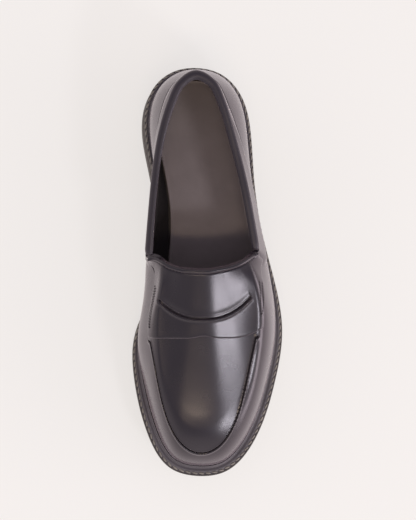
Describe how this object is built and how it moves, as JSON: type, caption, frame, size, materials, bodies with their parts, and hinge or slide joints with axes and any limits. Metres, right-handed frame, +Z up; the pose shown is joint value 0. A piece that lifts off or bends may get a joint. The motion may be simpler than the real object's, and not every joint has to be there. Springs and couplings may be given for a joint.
{
  "type": "chunky lug sole loafer",
  "caption": "Left slip-on loafer with a moc-toe apron, a slit saddle strap, a rolled topline and a stitched welt on a chunky lugged sole and heel.",
  "frame": {"origin": "on the floor, under the centre of the shoe's outline", "axes": "+Y towards the heel along the shoe's length, -Y towards the toe, +X towards the outer (lateral) side, +Z up"},
  "size_m": [0.1106, 0.2969, 0.1031],
  "materials": {
    "upper_leather": "polished smooth calf leather, very dark navy, close to black",
    "insole_leather": "matt dark brown-grey insole leather",
    "welt_leather": "dark brown welt and midsole leather with a burnished, milled edge",
    "sole_rubber": "matt dark brown-grey moulded rubber"
  },
  "bodies": {
    "root": {"upper": "upper_leather", "saddle": "upper_leather", "topline_binding": "upper_leather", "insole": "insole_leather", "welt": "welt_leather", "midsole": "welt_leather", "outsole": "sole_rubber", "heel": "sole_rubber"}
  },
  "joints": []
}
